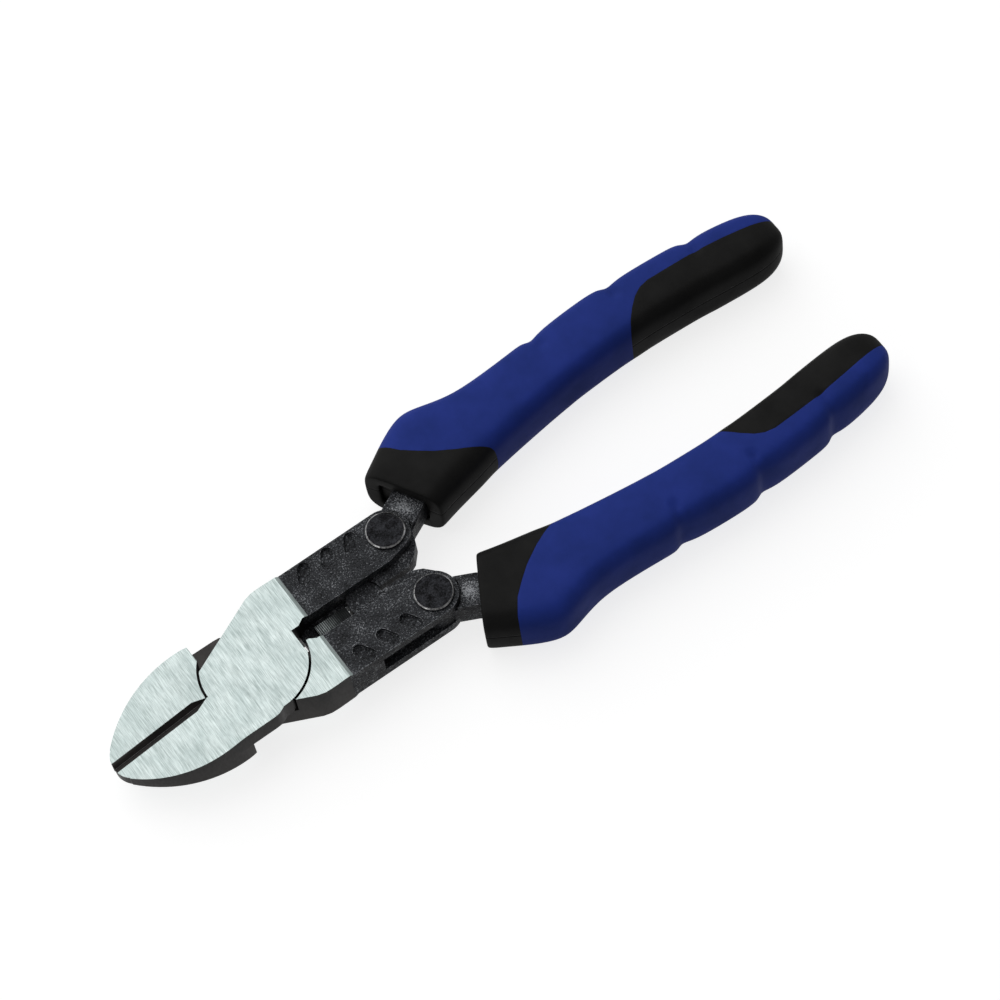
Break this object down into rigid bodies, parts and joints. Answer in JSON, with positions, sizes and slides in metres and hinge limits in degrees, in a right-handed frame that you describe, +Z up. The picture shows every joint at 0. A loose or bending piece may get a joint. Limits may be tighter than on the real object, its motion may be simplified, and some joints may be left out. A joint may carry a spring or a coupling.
{
  "type": "high-leverage side cutting pliers",
  "caption": "Compound-action side cutters: two lapped jaw levers, two pivoting handles joined by a hidden link pin, two-colour grips.",
  "frame": {"origin": "on the main pivot's axis, at the ground underside of the head", "axes": "+X from the main pivot to the jaw tips, +Y to the left, +Z up, square to the head's ground faces"},
  "size_m": [0.1986, 0.0656, 0.017],
  "materials": {
    "ground_steel": "ground and brushed bare steel on both faces of the head, black forged surface elsewhere",
    "forged_black": "rough forged steel, black, semi-gloss",
    "rivet_black": "blackened steel with a worn bright rim",
    "core_black": "hard moulded plastic",
    "grip_black": "soft matt rubber",
    "grip_blue": "soft satin rubber"
  },
  "bodies": {
    "left_jaw": {"left_jaw_lever": "ground_steel", "main_pivot_pin": "ground_steel", "right_arm_rivet": "rivet_black"},
    "right_jaw": {"right_jaw_lever": "ground_steel", "left_arm_rivet": "rivet_black"},
    "right_handle": {"right_handle_bar": "forged_black", "right_grip_core": "core_black", "right_front_collar": "grip_black", "right_grip_cover": "grip_blue", "right_rear_pad": "grip_black", "link_pin": "rivet_black"},
    "left_handle": {"left_handle_bar": "forged_black", "left_grip_core": "core_black", "left_front_collar": "grip_black", "left_grip_cover": "grip_blue", "left_rear_pad": "grip_black"}
  },
  "joints": [
    {"name": "main_pivot", "type": "hinge", "parent": "left_jaw", "child": "right_jaw", "pos_m": [0, 0, 0.0057], "axis": [0, 0, -1], "range_deg": [0, 10]},
    {"name": "right_handle_pivot", "type": "hinge", "parent": "left_jaw", "child": "right_handle", "pos_m": [-0.0422, -0.00965, 0.0057], "axis": [0, 0, 1], "range_deg": [0, 13.6]},
    {"name": "left_handle_pivot", "type": "hinge", "parent": "right_jaw", "child": "left_handle", "pos_m": [-0.0422, 0.00965, 0.0057], "axis": [0, 0, -1], "range_deg": [0, 13.6]}
  ],
  "couplings": [
    {"joint": "right_handle_pivot", "follows": "main_pivot", "ratio": 1.359},
    {"joint": "left_handle_pivot", "follows": "main_pivot", "ratio": 1.359}
  ]
}
